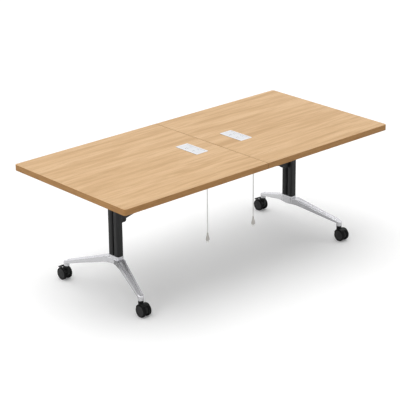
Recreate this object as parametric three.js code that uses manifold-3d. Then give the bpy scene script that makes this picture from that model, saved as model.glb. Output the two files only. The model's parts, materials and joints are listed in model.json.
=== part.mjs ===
// Flip top training table: a two-piece wooden top on a pair of cast V bases with twin columns.
// Millimetres, +Z up, +X along the table, origin on the floor under the middle of the top.
import * as THREE from 'three';
import { mergeVertices } from 'three/addons/utils/BufferGeometryUtils.js';
import Module from 'manifold-3d';

// Table top
const topLength = 2100;
const topDepth = 1000;
const topHeight = 750;
const topThickness = 36;
const topCornerRadius = 14;
const seamX = 26;
const seamGap = 1.5;
const bandThickness = 2;

// Clearances
const fitGap = 0.3;
const turnGap = 0.3;
const cutOutGap = 1;
const sideGap = 1;

// Power modules let into the top
const leftModuleX = -130;
const rightModuleX = 228;
const moduleY = -12;
const moduleWidth = 94;
const moduleLength = 190;
const moduleCorner = 6;
const bezelProud = 2;
const bezelLedge = 8;
const rebateDepth = 2;
const housingWall = 4;
const housingDrop = 44;
const insertSink = 0.8;
const insertSeat = 6;
const socketPitch = 62;
const slotWidth = 2.4;
const slotLength = 7.5;
const slotSpread = 12;
const slotSlant = Math.PI / 6;

// Mains leads that hang from the modules
const leadDiameter = 7;
const leadExitDrop = 24;
const leadOffset = 10;
const glandFlange = 3;
const glandFlangeRadius = 12;
const glandNutLength = 12;
const glandNutRadius = 9;
const bootRadius = 7.5;
const bootStraight = 7;
const bootBend = 34;
const bootBall = 5;
const plugLength = 50;
const plugWidth = 27;
const plugDepth = 20;
const plugSleeveRadius = 5;
const bladeLength = 16;
const bladeWidth = 6;
const bladeThickness = 2;
const bladePitch = 13;

// Legs: twin columns on a cast base
const columnX = 712;
const legY = 8;
const columnWidth = 46;
const columnDepth = 39;
const columnPitch = 49;
const columnCorner = 12;
const columnWall = 2.5;
const spigotLength = 30;

// Cast base
const hubHeight = 221;
const hubDepth = 38;
const hubRim = 2;
const hubLanding = 4;
const seatRise = 14;
const kneeLength = 30;
const armSplay = 106;
const armReach = 342;
const armCorner = 6;
const apexRadius = 8;
const tipRadius = 18;
const tipHeight = 36;
const armTipDepth = 20;
const armDish = 4;
const castWall = 5;
const armRings = 7;

// Casters
const wheelRadius = 37.5;
const wheelWidth = 22;
const wheelEdge = 4;
const casterTrail = 23;
const casterWeb = 14;
const neckRadius = 16;
const neckHeight = 13;
const neckLift = 2;
const collarThickness = 1.4;
const collarRadius = 13;
const stemRadius = 5.2;
const stemGrip = 28;
const stemDepth = 24;
const axleRadius = 4;
const wheelCap = 4;
const webInset = 3.5;
const hoodThickness = 2.5;
const hoodStart = 0.12 * Math.PI;
const hoodEnd = 0.7 * Math.PI;
const hubFaceRadius = 12;
const hubFaceSink = 1;
const dishRadius = 29;
const dishDepth = 3;

// Brake pedals on the rear casters
const pedalWidth = 40;
const pedalTipWidth = 26;
const pedalLength = 40;
const pedalTip = 4;
const pedalSlope = 0.14 * Math.PI;
const pedalWrap = 0.28 * Math.PI;
const pedalClear = 2.5;
const pedalCheek = 3;
const pedalPinRadius = 2.5;
const pedalLugRadius = 5.5;
const pedalLift = 7;

// Pivot heads and the support arms that carry the top
const pivotDrop = 34;
const pivotReach = 12;
const knuckleRadius = 18;
const headWall = 3;
const headDrop = 40;
const headRise = 12;
const shaftRadius = 7;
const shaftHeadRadius = 12;
const shaftHeadLength = 4;
const armLength = 640;
const armPlate = 6;
const armRib = 6;
const armEndDepth = 14;
const armLobe = 20;
const padLength = 24;
const padInset = 12;

// Clamp levers on the inner ends of the pivot shafts
const leverThickness = 12;
const leverHubRadius = 13;
const leverLength = 108;
const leverTipRadius = 9;

// Rails that tie the two halves of the top together
const railY = 250;
const railWidth = 40;
const railHeight = 25;
const railWall = 2.5;

// Stretcher beam between the legs
const beamCentreHeight = 492;
const beamHeight = 44;
const beamDepth = 30;
const beamWall = 2;
const beamGrip = 40;
const socketWall = 4;
const socketBlock = 46;
const socketReach = 116;
const socketDrop = 40;
const socketStep = 20;
const socketRise = 12;
const socketEdge = 14;

// Facets
const roundSegments = 20;
const smallSegments = 10;
const hoodSegments = 3;
const cornerSegments = 2;
const bootSides = 8;
const bootSteps = 5;

// Worked out from the sizes above
const undersideZ = topHeight - topThickness;
const columnsHalfDepth = columnPitch / 2 + columnDepth / 2;
const headHalfDepth = columnsHalfDepth + headWall;
const pivotY = -(headHalfDepth + pivotReach);
const pivotZ = undersideZ - pivotDrop;
const headBottom = pivotZ - headDrop;
const headTop = pivotZ + headRise;
const headWidth = columnWidth + 2 * sideGap;
const armInner = headWidth / 2 + sideGap;
const armHalfWidth = armInner + armRib;
const wheelTop = 2 * wheelRadius;
const treadRadius = wheelRadius / Math.cos(Math.PI / roundSegments);
const neckTop = wheelTop + neckLift + neckHeight;
const tipBottom = neckTop + collarThickness + 2 * fitGap;
const tipTop = tipBottom + tipHeight;
const casterX = columnX + armSplay;
const seatHeight = hubHeight + seatRise;

const wasm = await Module();
wasm.setup();

const finish = {
  oak: new THREE.MeshStandardMaterial({ color: 0xe0bd95, roughness: 0.55 }),
  oakEdge: new THREE.MeshStandardMaterial({ color: 0xa8825a, roughness: 0.6 }),
  blackCoat: new THREE.MeshStandardMaterial({ color: 0x2b2b2c, roughness: 0.5, metalness: 0.2 }),
  castAluminium: new THREE.MeshStandardMaterial({ color: 0xd2d3d6, roughness: 0.18, metalness: 1 }),
  steel: new THREE.MeshStandardMaterial({ color: 0xb9bbbe, roughness: 0.3, metalness: 1 }),
  blackPlastic: new THREE.MeshStandardMaterial({ color: 0x1c1c1d, roughness: 0.5 }),
  tyre: new THREE.MeshStandardMaterial({ color: 0x161616, roughness: 0.7 }),
  whitePlastic: new THREE.MeshStandardMaterial({ color: 0xf0f0f4, roughness: 0.4 }),
  greyPlastic: new THREE.MeshStandardMaterial({ color: 0xcac9c5, roughness: 0.5 }),
  rubber: new THREE.MeshStandardMaterial({ color: 0x242424, roughness: 0.9 }),
};

// Geometry helpers

function closed(geometry) {
  const bare = new THREE.BufferGeometry();
  bare.setAttribute('position', geometry.getAttribute('position'));
  bare.setIndex(geometry.index);
  const welded = mergeVertices(bare, 1e-4);
  const points = welded.getAttribute('position');
  const corners = [new THREE.Vector3(), new THREE.Vector3(), new THREE.Vector3()];
  const kept = [];
  let volume = 0;
  for (let i = 0; i < welded.index.count; i += 3) {
    const face = [0, 1, 2].map((k) => welded.index.getX(i + k));
    if (new Set(face).size < 3) continue;
    kept.push(...face);
    face.forEach((vertex, k) => corners[k].fromBufferAttribute(points, vertex));
    volume += corners[0].dot(corners[1].cross(corners[2]));
  }
  if (volume < 0) kept.reverse();
  welded.setIndex(kept);
  return welded;
}

function solid(geometry) {
  const skin = closed(geometry);
  return new wasm.Manifold(new wasm.Mesh({
    numProp: 3,
    vertProperties: new Float32Array(skin.getAttribute('position').array),
    triVerts: new Uint32Array(skin.index.array),
  }));
}

function surface(body) {
  const skin = body.getMesh();
  const geometry = new THREE.BufferGeometry();
  geometry.setAttribute('position', new THREE.BufferAttribute(new Float32Array(skin.vertProperties), 3));
  geometry.setIndex([...skin.triVerts]);
  return geometry;
}

function join(...pieces) {
  return surface(pieces.map(solid).reduce((sum, piece) => sum.add(piece)));
}

function cut(blank, ...tools) {
  return surface(tools.map(solid).reduce((rest, tool) => rest.subtract(tool), solid(blank)));
}

function shared(first, second) {
  return surface(solid(first).intersect(solid(second)));
}

function extruded(shape, depth, segments = cornerSegments) {
  return new THREE.ExtrudeGeometry(shape, { depth, bevelEnabled: false, curveSegments: segments });
}

// A shape drawn in X and Y, raised from one height to another
function raised(shape, from, to, segments) {
  return extruded(shape, to - from, segments).translate(0, 0, from);
}

// A shape drawn in Y and Z, run along X
function runAlongX(shape, from, to, segments) {
  const turn = new THREE.Matrix4().makeBasis(
    new THREE.Vector3(0, 1, 0), new THREE.Vector3(0, 0, 1), new THREE.Vector3(1, 0, 0));
  return extruded(shape, to - from, segments).applyMatrix4(turn).translate(from, 0, 0);
}

// A shape drawn in X and Z, run along Y and centred on it
function runAcrossY(shape, width, segments) {
  return extruded(shape, width, segments).translate(0, 0, -width / 2).rotateX(Math.PI / 2);
}

// A profile of radius and height turned about the vertical axis
function turned(profile, segments = roundSegments) {
  const points = profile.map(([radius, height]) => new THREE.Vector2(radius, height));
  return new THREE.LatheGeometry(points, segments).rotateX(Math.PI / 2);
}

function rodAlongX(radius, from, to, segments = smallSegments) {
  return turned([[0, from], [radius, from], [radius, to], [0, to]], segments).rotateY(Math.PI / 2);
}

function rodUp(radius, from, to, segments = smallSegments) {
  return turned([[0, from], [radius, from], [radius, to], [0, to]], segments);
}

// Radius of a faceted bore that stays clear of a pin turning in it
function turnBore(pinRadius, segments = smallSegments) {
  return (pinRadius + turnGap) / Math.cos(Math.PI / segments);
}

function boxShape(width, depth, radius) {
  const shape = new THREE.Shape();
  const x = width / 2 - radius;
  const y = depth / 2 - radius;
  shape.absarc(x, y, radius, 0, Math.PI / 2);
  shape.absarc(-x, y, radius, Math.PI / 2, Math.PI);
  shape.absarc(-x, -y, radius, Math.PI, 1.5 * Math.PI);
  shape.absarc(x, -y, radius, 1.5 * Math.PI, 2 * Math.PI);
  return shape;
}

function outline(points) {
  return new THREE.Shape(points.map(([x, y]) => new THREE.Vector2(x, y)));
}

function holed(shape, ...holes) {
  shape.holes.push(...holes);
  return shape;
}

// Evenly spaced values, both ends included
function spaced(from, to, count) {
  return Array.from({ length: count + 1 }, (_, k) => from + (to - from) * k / count);
}

// A skin through rings of points, closed with a flat face at each end
function loft(rings) {
  const count = rings[0].length;
  const last = (rings.length - 1) * count;
  const faces = [];
  for (let start = 0; start < last; start += count) {
    for (let k = 0; k < count; k += 1) {
      const here = start + k;
      const next = start + (k + 1) % count;
      faces.push(here, next, next + count, here, next + count, here + count);
    }
  }
  for (let k = 1; k + 1 < count; k += 1) {
    faces.push(0, k + 1, k, last, last + k, last + k + 1);
  }
  const geometry = new THREE.BufferGeometry().setFromPoints(rings.flat());
  geometry.setIndex(faces);
  return closed(geometry);
}

function put(group, name, geometry, material) {
  const mesh = new THREE.Mesh(closed(geometry), material);
  mesh.name = name;
  group.add(mesh);
  return mesh;
}

const table = new THREE.Group();

function station(x, y, turn = 0, parent = table) {
  const group = new THREE.Group();
  group.position.set(x, y, 0);
  group.rotation.z = turn;
  parent.add(group);
  return group;
}

// Top: two panels, each with its edge band, meeting at a seam near the middle.
// A half is drawn to the right of the seam, and the left one is then turned round.

function halfOutline(sign, inset) {
  const seamEdge = sign * seamX + seamGap / 2 + inset;
  const endX = topLength / 2 - inset;
  const sideY = topDepth / 2 - inset;
  const radius = topCornerRadius - inset;
  const shape = new THREE.Shape();
  shape.moveTo(seamEdge, sideY);
  shape.lineTo(seamEdge, -sideY);
  shape.absarc(endX - radius, -sideY + radius, radius, -Math.PI / 2, 0);
  shape.absarc(endX - radius, sideY - radius, radius, 0, Math.PI / 2);
  return shape;
}

const bodyWidth = moduleWidth - 2 * bezelLedge;
const bodyLength = moduleLength - 2 * bezelLedge;
const bodyCorner = moduleCorner - 2;

function slab(sign, shape) {
  return raised(shape, undersideZ, topHeight).rotateZ(sign < 0 ? Math.PI : 0);
}

function panel(sign, moduleX) {
  const blank = slab(sign, halfOutline(sign, bandThickness + fitGap));
  const well = boxShape(bodyWidth + 2 * cutOutGap, bodyLength + 2 * cutOutGap, bodyCorner);
  const rebate = boxShape(moduleWidth + 2 * fitGap, moduleLength + 2 * fitGap, moduleCorner);
  return cut(
    blank,
    raised(well, undersideZ - 1, topHeight + 1).translate(moduleX, moduleY, 0),
    raised(rebate, topHeight - rebateDepth, topHeight + 1).translate(moduleX, moduleY, 0),
  );
}

function edgeBand(sign) {
  return slab(sign, holed(halfOutline(sign, 0), halfOutline(sign, bandThickness)));
}

for (const [side, sign, moduleX] of [['left', -1, leftModuleX], ['right', 1, rightModuleX]]) {
  put(table, `${side}_top_panel`, panel(sign, moduleX), finish.oak);
  put(table, `${side}_edge_band`, edgeBand(sign), finish.oakEdge);
}

// Power modules: bezel in a rebate, socket insert and housing below

const flangeBottom = topHeight - rebateDepth + fitGap;
const bezelTop = topHeight + bezelProud;
const housingTop = topHeight - rebateDepth;
const housingBottom = undersideZ - housingDrop;
const insertWidth = bodyWidth - 2 * housingWall;
const insertLength = bodyLength - 2 * housingWall;
const insertCorner = bodyCorner - 1;
const leadExitZ = undersideZ - leadExitDrop;

function slot(x, y, turn) {
  const along = new THREE.Vector2(Math.sin(turn), Math.cos(turn)).multiplyScalar(slotLength / 2);
  const across = new THREE.Vector2(Math.cos(turn), -Math.sin(turn)).multiplyScalar(slotWidth / 2);
  const corners = [[-1, -1], [1, -1], [1, 1], [-1, 1]];
  return outline(corners.map(([a, b]) => [
    x + a * across.x + b * along.x,
    y + a * across.y + b * along.y,
  ]));
}

// Two flat pins beside three pins, two of them slanted
function socketSlots(y) {
  const flatX = insertWidth / 4;
  const earthX = -insertWidth / 3;
  const slantX = earthX + slotSpread;
  return [
    slot(flatX, y - slotSpread / 2, Math.PI / 2),
    slot(flatX, y + slotSpread / 2, Math.PI / 2),
    slot(slantX, y - slotSpread / 2, Math.PI / 2 + slotSlant),
    slot(slantX, y + slotSpread / 2, Math.PI / 2 - slotSlant),
    slot(earthX, y, Math.PI / 2),
  ];
}

function bezel() {
  const window = boxShape(insertWidth + 2 * fitGap, insertLength + 2 * fitGap, insertCorner + fitGap);
  return raised(holed(boxShape(moduleWidth, moduleLength, moduleCorner), window), flangeBottom, bezelTop);
}

function socketInsert() {
  const plate = boxShape(insertWidth, insertLength, insertCorner);
  const slots = [-socketPitch / 2, socketPitch / 2].flatMap(socketSlots);
  return raised(holed(plate, ...slots), housingTop - insertSeat + fitGap, bezelTop - insertSink);
}

function housing() {
  const block = raised(boxShape(bodyWidth, bodyLength, bodyCorner), housingBottom, housingTop);
  const pocket = boxShape(insertWidth + 2 * fitGap, insertLength + 2 * fitGap, insertCorner + fitGap);
  return cut(block, raised(pocket, housingTop - insertSeat, housingTop + 1));
}

// Leads: angled strain relief on the housing's front end, cord and two-blade plug

const swingY = -(glandFlange + glandNutLength + bootStraight + bootBend);
const swingZ = -bootBend;

// Drops of a hanging cord's points below the ball that it swings about
const leadDrops = [5.3, 15, 30, 55, 85, 115, 145, 175, 205, 235, 265, 295, 325, 350, 375, 395];
const leadEnd = -leadDrops[leadDrops.length - 1];

function leadCord() {
  const section = new THREE.Shape().absarc(0, 0, leadDiameter / 2, 0, 2 * Math.PI);
  const path = new THREE.CatmullRomCurve3(leadDrops.map((drop) => new THREE.Vector3(0, 0, -drop)));
  const steps = Math.round(path.getLength() / (3 * leadDiameter));
  return new THREE.ExtrudeGeometry(section, { steps, curveSegments: 4, extrudePath: path });
}

// Ring of the strain relief's boot, square to its bend at the given angle
function bootRing(angle, past, radius) {
  const along = new THREE.Vector3(0, -Math.cos(angle), -Math.sin(angle));
  const outward = new THREE.Vector3(0, -Math.sin(angle), Math.cos(angle));
  const centre = new THREE.Vector3(0, swingY + bootBend, -bootBend)
    .addScaledVector(outward, bootBend)
    .addScaledVector(along, past);
  return spaced(0, 2 * Math.PI, bootSides).slice(0, -1).map((turn) => centre.clone()
    .addScaledVector(outward, radius * Math.cos(turn))
    .setX(radius * Math.sin(turn)));
}

function gland() {
  const nutEnd = glandFlange + glandNutLength;
  const fitting = turned([
    [0, 0], [glandFlangeRadius, 0], [glandFlangeRadius, glandFlange], [glandNutRadius, glandFlange],
    [glandNutRadius, nutEnd], [0, nutEnd],
  ], smallSegments).rotateX(Math.PI / 2);
  const bend = spaced(0, 1, bootSteps).map((part) => bootRing(
    part * Math.PI / 2, 0, bootRadius + (bootBall - bootRadius) * part));
  const ball = spaced(0, 0.42 * Math.PI, 2).slice(1).map((turn) => bootRing(
    Math.PI / 2, bootBall * Math.sin(turn), bootBall * Math.cos(turn)));
  const boot = loft([bootRing(0, -bootStraight - 1, bootRadius), ...bend, ...ball]);
  return join(fitting, boot);
}

function plugRing(width, depth, height) {
  const corner = Math.min(width, depth) / 2;
  return boxShape(width, depth, 0.98 * corner).extractPoints(3).shape
    .slice(1).map((point) => new THREE.Vector3(point.x, point.y, height));
}

function plug() {
  const sleeve = 2 * plugSleeveRadius;
  const body = loft([
    plugRing(sleeve, sleeve, 0),
    plugRing(1.15 * sleeve, 1.1 * sleeve, -0.3 * plugLength),
    plugRing(0.75 * plugWidth, 0.8 * plugDepth, -0.55 * plugLength),
    plugRing(plugWidth, plugDepth, -0.78 * plugLength),
    plugRing(plugWidth, plugDepth, -0.94 * plugLength),
    plugRing(0.9 * plugWidth, 0.88 * plugDepth, -plugLength),
  ]);
  const blades = [-bladePitch / 2, bladePitch / 2].map((x) => {
    const blade = new THREE.BoxGeometry(bladeThickness, bladeWidth, bladeLength + 2);
    return blade.translate(x, 0, 1 - plugLength - bladeLength / 2);
  });
  return join(body, ...blades);
}

for (const [side, sign, moduleX] of [['left', -1, leftModuleX], ['right', 1, rightModuleX]]) {
  const place = station(moduleX, moduleY);
  put(place, `${side}_module_bezel`, bezel(), finish.whitePlastic);
  put(place, `${side}_module_insert`, socketInsert(), finish.whitePlastic);
  put(place, `${side}_module_housing`, housing(), finish.whitePlastic);
  const lead = station(sign * leadOffset, -bodyLength / 2 - fitGap, 0, place);
  lead.position.z = leadExitZ;
  put(lead, `${side}_lead_gland`, gland(), finish.greyPlastic);
  put(lead, `${side}_lead_cord`, leadCord(), finish.greyPlastic)
    .position.set(0, swingY, swingZ);
  put(lead, `${side}_lead_plug`, plug(), finish.greyPlastic)
    .position.set(0, swingY, swingZ + leadEnd - fitGap);
}

// Base: one casting that runs from caster to caster through the hub under the columns

const hubHalfWidth = columnWidth / 2 + hubRim;
const landingY = columnsHalfDepth + hubLanding;
const armRun = armReach - landingY;

// Flat, then a round knee, then a straight fall of one per unit
function ramp(run) {
  if (run <= 0) return 0;
  return run < kneeLength ? run * run / (2 * kneeLength) : run - kneeLength / 2;
}

// How far the arm's centre line lies outside the columns: a V with a round apex
const splaySlope = Math.sqrt((armSplay + apexRadius) ** 2 - apexRadius ** 2) / armReach;

function splayAt(y) {
  return Math.hypot(splaySlope * y, apexRadius) - apexRadius;
}

function splayTurn(y) {
  return Math.atan(splaySlope * splaySlope * y / Math.hypot(splaySlope * y, apexRadius));
}

// Section of an arm, with round upper corners and a shallow dish along its top past the landing.
// A shrunken section is a pocket's, flat on top and a wall below the dish.
function armSection(y, shrink) {
  const run = Math.abs(y) - landingY;
  const fall = ramp(run) / ramp(armRun);
  const dish = armDish * Math.min(Math.max(run, 0) / kneeLength, 1);
  const half = hubHalfWidth + (tipRadius - hubHalfWidth) * Math.max(run, 0) / armRun - shrink;
  const top = hubHeight + (tipTop - hubHeight) * fall - (shrink ? shrink + dish : 0);
  const floor = hubHeight - hubDepth + (tipTop - armTipDepth - hubHeight + hubDepth) * fall;
  const bottom = shrink ? floor - 1 : floor;
  const bevel = armCorner;
  const lip = half - bevel;
  const dished = shrink ? [] : [[lip / 2, top - dish], [-lip / 2, top - dish]];
  const across = new THREE.Vector3(Math.cos(splayTurn(y)), -Math.sin(splayTurn(y)), 0);
  const centre = new THREE.Vector3(splayAt(y), y, 0);
  const profile = [
    [-half, bottom], [half, bottom], [half, top - bevel], [half - 0.3 * bevel, top - 0.3 * bevel],
    [lip, top], ...dished, [-lip, top], [0.3 * bevel - half, top - 0.3 * bevel], [-half, top - bevel],
  ];
  return profile.map(([out, z]) => centre.clone().addScaledVector(across, out).setZ(z));
}

function spigots(from, to) {
  const slack = 2 * (columnWall + fitGap);
  const plugShape = boxShape(columnWidth - slack, columnDepth - slack, columnCorner - slack / 2);
  return [-columnPitch / 2, columnPitch / 2].map((y) => raised(plugShape, from, to, 3).translate(0, y, 0));
}

// Seat under the columns: a straight block through the hub that stands up out of the arms
function columnSeat() {
  const plan = boxShape(2 * hubHalfWidth, 2 * (columnsHalfDepth + hubRim), columnCorner + hubRim);
  return raised(plan, hubHeight - hubDepth + castWall, seatHeight);
}

function base() {
  const armYs = spaced(landingY, armReach, armRings);
  const hubYs = spaced(-landingY, landingY, 4).slice(1, -1);
  const ringYs = [...armYs.map((y) => -y).reverse(), ...hubYs, ...armYs];
  const casting = loft(ringYs.map((y) => armSection(y, 0)));
  const pocketYs = spaced(landingY, armReach - tipRadius - castWall, armRings);
  const tips = [];
  const hollows = [];
  for (const end of [-1, 1]) {
    tips.push(turned([
      [0, tipBottom], [tipRadius, tipBottom], [tipRadius, tipTop - armCorner],
      [tipRadius - 0.3 * armCorner, tipTop - 0.3 * armCorner], [tipRadius - armCorner, tipTop], [0, tipTop],
    ]).translate(armSplay, end * armReach, 0));
    hollows.push(loft(pocketYs.map((y) => armSection(end * y, castWall))));
    hollows.push(rodUp(stemRadius + fitGap, tipBottom - 1, tipBottom + stemGrip + fitGap)
      .translate(armSplay, end * armReach, 0));
  }
  const pins = spigots(seatHeight - 1, seatHeight + spigotLength);
  return cut(join(casting, columnSeat(), ...tips, ...pins), ...hollows);
}

function column() {
  const walls = 2 * columnWall;
  const bore = boxShape(columnWidth - walls, columnDepth - walls, columnCorner - columnWall);
  const tube = holed(boxShape(columnWidth, columnDepth, columnCorner), bore);
  return raised(tube, seatHeight + fitGap, headBottom - fitGap);
}

// Pivot head: a cap over both columns that reaches forward to the pivot
function pivotHead() {
  const side = new THREE.Shape();
  side.moveTo(headHalfDepth, headBottom);
  side.lineTo(headHalfDepth, headTop);
  side.lineTo(pivotY + headHalfDepth, headTop);
  side.absarc(pivotY, pivotZ, knuckleRadius, Math.PI / 2, 1.35 * Math.PI);
  side.lineTo(-headHalfDepth, headBottom);
  const block = runAlongX(side, -headWidth / 2, headWidth / 2);
  const cap = join(block, ...spigots(headBottom - spigotLength, headBottom + 1));
  return cut(cap, rodAlongX(turnBore(shaftRadius), -headWidth, headWidth).translate(0, pivotY, pivotZ));
}

// Stop pad on the head, where the support arm comes to rest
function stopPad() {
  const pad = boxShape(headWidth - padInset, padLength, 4);
  return raised(pad, headTop + fitGap, undersideZ - armPlate - 2 * fitGap)
    .translate(0, headHalfDepth - padLength, 0);
}

// Support arm under the top: a plate with a deep rib on each side of the head
function supportArm() {
  const top = undersideZ - fitGap;
  const end = armLength / 2;
  const rib = new THREE.Shape();
  rib.moveTo(-end, top);
  rib.lineTo(-end, top - armEndDepth);
  rib.absarc(pivotY, pivotZ, armLobe, 1.2 * Math.PI, 1.8 * Math.PI);
  rib.lineTo(end, top - armEndDepth);
  rib.lineTo(end, top);
  const plate = new THREE.BoxGeometry(2 * armHalfWidth, armLength, armPlate)
    .translate(0, 0, top - armPlate / 2);
  const arm = join(
    plate,
    runAlongX(rib, armInner, armHalfWidth),
    runAlongX(rib, -armHalfWidth, -armInner),
  );
  return cut(arm, rodAlongX(turnBore(shaftRadius), -headWidth, headWidth).translate(0, pivotY, pivotZ));
}

// Pivot shaft: head on the outer side, lever seat on the inner side
function pivotShaft() {
  const outer = armHalfWidth + fitGap;
  const inner = -(armHalfWidth + fitGap + leverThickness);
  return turned([
    [0, inner], [shaftRadius, inner], [shaftRadius, outer], [shaftHeadRadius, outer],
    [shaftHeadRadius, outer + shaftHeadLength], [0, outer + shaftHeadLength],
  ], smallSegments).rotateY(Math.PI / 2);
}

// Clamp lever, pointing back from the shaft
function clampLever() {
  const lean = Math.asin((leverHubRadius - leverTipRadius) / leverLength);
  const side = new THREE.Shape();
  side.absarc(0, 0, leverHubRadius, Math.PI / 2 - lean, 1.5 * Math.PI + lean);
  side.absarc(leverLength, 0, leverTipRadius, -Math.PI / 2 + lean, Math.PI / 2 - lean);
  const bar = runAlongX(side, -leverThickness / 2, leverThickness / 2, smallSegments / 2);
  return cut(bar, rodAlongX(turnBore(shaftRadius), -leverThickness, leverThickness));
}

// Beam socket: a block on the columns' inner faces, then a sleeve that rises to the end of the beam
const beamTop = beamCentreHeight + beamHeight / 2;
const beamBottom = beamCentreHeight - beamHeight / 2;
const socketEnd = columnWidth / 2 + socketReach;

function beamSocket() {
  const face = columnWidth / 2 + fitGap;
  const low = beamBottom - socketDrop;
  const high = beamTop + socketRise;
  const blockEnd = face + socketBlock;
  const side = new THREE.Shape();
  side.moveTo(face, high);
  side.lineTo(face, low);
  side.absarc(blockEnd - socketEdge, low + socketEdge, socketEdge, -Math.PI / 2, 0);
  side.lineTo(blockEnd, low + socketStep);
  side.lineTo(socketEnd, beamBottom - socketWall);
  side.lineTo(socketEnd, beamTop + socketWall);
  side.absarc(blockEnd - socketEdge, high - socketEdge, socketEdge, Math.PI / 8, Math.PI / 2);
  const block = runAcrossY(side, beamDepth + 2 * socketWall);
  const mouth = boxShape(beamDepth + 2 * fitGap, beamHeight + 2 * fitGap, socketWall);
  const pocket = runAlongX(mouth, socketEnd - beamGrip - fitGap, socketEnd + 1);
  return cut(block, pocket.translate(0, 0, beamCentreHeight));
}

function stretcherBeam() {
  const reach = columnX - socketEnd + beamGrip;
  const corner = socketWall - fitGap;
  const bore = boxShape(beamDepth - 2 * beamWall, beamHeight - 2 * beamWall, corner - beamWall);
  const tube = holed(boxShape(beamDepth, beamHeight, corner), bore);
  return runAlongX(tube, -reach, reach).translate(0, 0, beamCentreHeight);
}

for (const [side, sign, turn] of [['left', -1, 0], ['right', 1, Math.PI]]) {
  const inward = station(sign * columnX, legY, turn);
  const outward = station(sign * columnX, legY, turn + Math.PI);
  put(outward, `${side}_base`, base(), finish.castAluminium);
  put(inward, `${side}_beam_socket`, beamSocket(), finish.blackCoat);
  put(outward, `${side}_pivot_shaft`, pivotShaft(), finish.steel)
    .position.set(0, sign * pivotY, pivotZ);
  const upright = station(sign * columnX, legY);
  put(upright, `${side}_front_column`, column(), finish.blackCoat).position.y = -columnPitch / 2;
  put(upright, `${side}_rear_column`, column(), finish.blackCoat).position.y = columnPitch / 2;
  put(upright, `${side}_pivot_head`, pivotHead(), finish.blackCoat);
  put(upright, `${side}_stop_pad`, stopPad(), finish.rubber);
  put(upright, `${side}_support_arm`, supportArm(), finish.blackCoat);
  put(upright, `${side}_clamp_lever`, clampLever(), finish.blackPlastic)
    .position.set(-sign * (armHalfWidth + 2 * fitGap + leverThickness / 2), pivotY, pivotZ);
}
put(table, 'stretcher_beam', stretcherBeam(), finish.blackCoat).position.y = legY;

// Rails across the seam, channels that open upwards against the top

function rail() {
  const top = undersideZ - fitGap;
  const low = undersideZ - railHeight;
  const half = railWidth / 2;
  const reach = columnX - armHalfWidth - fitGap;
  return runAlongX(outline([
    [-half, top], [-half, low], [half, low], [half, top], [half - railWall, top],
    [half - railWall, low + railWall], [railWall - half, low + railWall], [railWall - half, top],
  ]), -reach, reach);
}

put(table, 'front_rail', rail(), finish.blackCoat).position.y = -railY;
put(table, 'rear_rail', rail(), finish.blackCoat).position.y = railY;

// Casters: stem in the base, swivelling web, two wheels on one axle

function casterStem() {
  const low = neckTop - stemDepth;
  const high = tipBottom + stemGrip;
  const seat = neckTop + fitGap;
  return turned([
    [0, low], [stemRadius, low], [stemRadius, seat], [collarRadius, seat],
    [collarRadius, seat + collarThickness], [stemRadius, seat + collarThickness],
    [stemRadius, high], [0, high],
  ], smallSegments);
}

const pedalY = -casterTrail;
const pedalZ = wheelTop + pedalLift;

// Hood over the treads, which stops short of the pedal on a braked caster
function casterHood(braked) {
  const inner = treadRadius + sideGap;
  const end = braked ? Math.acos((pedalLugRadius + sideGap) / inner) : hoodEnd;
  const reach = casterWeb / 2 + sideGap + wheelWidth - wheelEdge;
  const arc = new THREE.Shape();
  arc.absarc(-casterTrail, wheelRadius, inner + hoodThickness, hoodStart, end);
  arc.absarc(-casterTrail, wheelRadius, inner, end, hoodStart, true);
  return runAlongX(arc, -reach, reach, hoodSegments);
}

// Web between the wheels, carrying the hood, the neck and, on a braked caster, the pedal's lug
function casterWebBody(braked) {
  const side = new THREE.Shape();
  side.absarc(-casterTrail, wheelRadius, wheelRadius - webInset, -0.1 * Math.PI, 1.1 * Math.PI);
  const disc = runAlongX(side, -casterWeb / 2, casterWeb / 2, 2 * hoodSegments);
  const shoulder = new THREE.BoxGeometry(casterWeb, 2 * neckRadius, neckTop - wheelRadius)
    .translate(0, 0, (neckTop + wheelRadius) / 2);
  const neck = rodUp(neckRadius, neckTop - neckHeight, neckTop, roundSegments);
  const parts = [disc, shoulder, neck, casterHood(braked)];
  const bores = [
    rodUp(turnBore(stemRadius), neckTop - stemDepth - turnGap, neckTop + 1),
    rodAlongX(axleRadius + fitGap, -casterWeb, casterWeb).translate(0, -casterTrail, wheelRadius),
  ];
  if (braked) {
    const lug = new THREE.Shape().absarc(pedalY, pedalZ, pedalLugRadius, 0, Math.PI);
    lug.lineTo(pedalY - pedalLugRadius, wheelRadius);
    lug.lineTo(pedalY + pedalLugRadius, wheelRadius);
    parts.push(runAlongX(lug, -casterWeb / 2, casterWeb / 2));
    bores.push(rodAlongX(turnBore(pedalPinRadius), -casterWeb, casterWeb).translate(0, pedalY, pedalZ));
  }
  return cut(join(...parts), ...bores);
}

function casterAxle() {
  const reach = casterWeb / 2 + sideGap + wheelWidth - hubFaceSink - wheelCap - fitGap;
  return rodAlongX(axleRadius, -reach, reach);
}

// Wheel profile from its blind bore outwards: inner face, tread, dished outer face and hub cap.
// The tread's facets touch the wheel's circle, and one of them lies on the floor.
function wheel() {
  const bore = turnBore(axleRadius, roundSegments);
  const hubFace = wheelWidth - hubFaceSink;
  const boreEnd = hubFace - wheelCap;
  const dishFloor = wheelWidth - dishDepth;
  return turned([
    [0, boreEnd], [bore, boreEnd], [bore, 0], [treadRadius - wheelEdge, 0], [treadRadius, wheelEdge],
    [treadRadius, wheelWidth - wheelEdge], [treadRadius - wheelEdge, wheelWidth], [dishRadius, wheelWidth],
    [dishRadius - dishDepth / 2, dishFloor], [hubFaceRadius + 1, dishFloor], [hubFaceRadius, hubFace],
    [0, hubFace],
  ]).rotateY(Math.PI / 2).rotateX(Math.PI / roundSegments);
}

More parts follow.
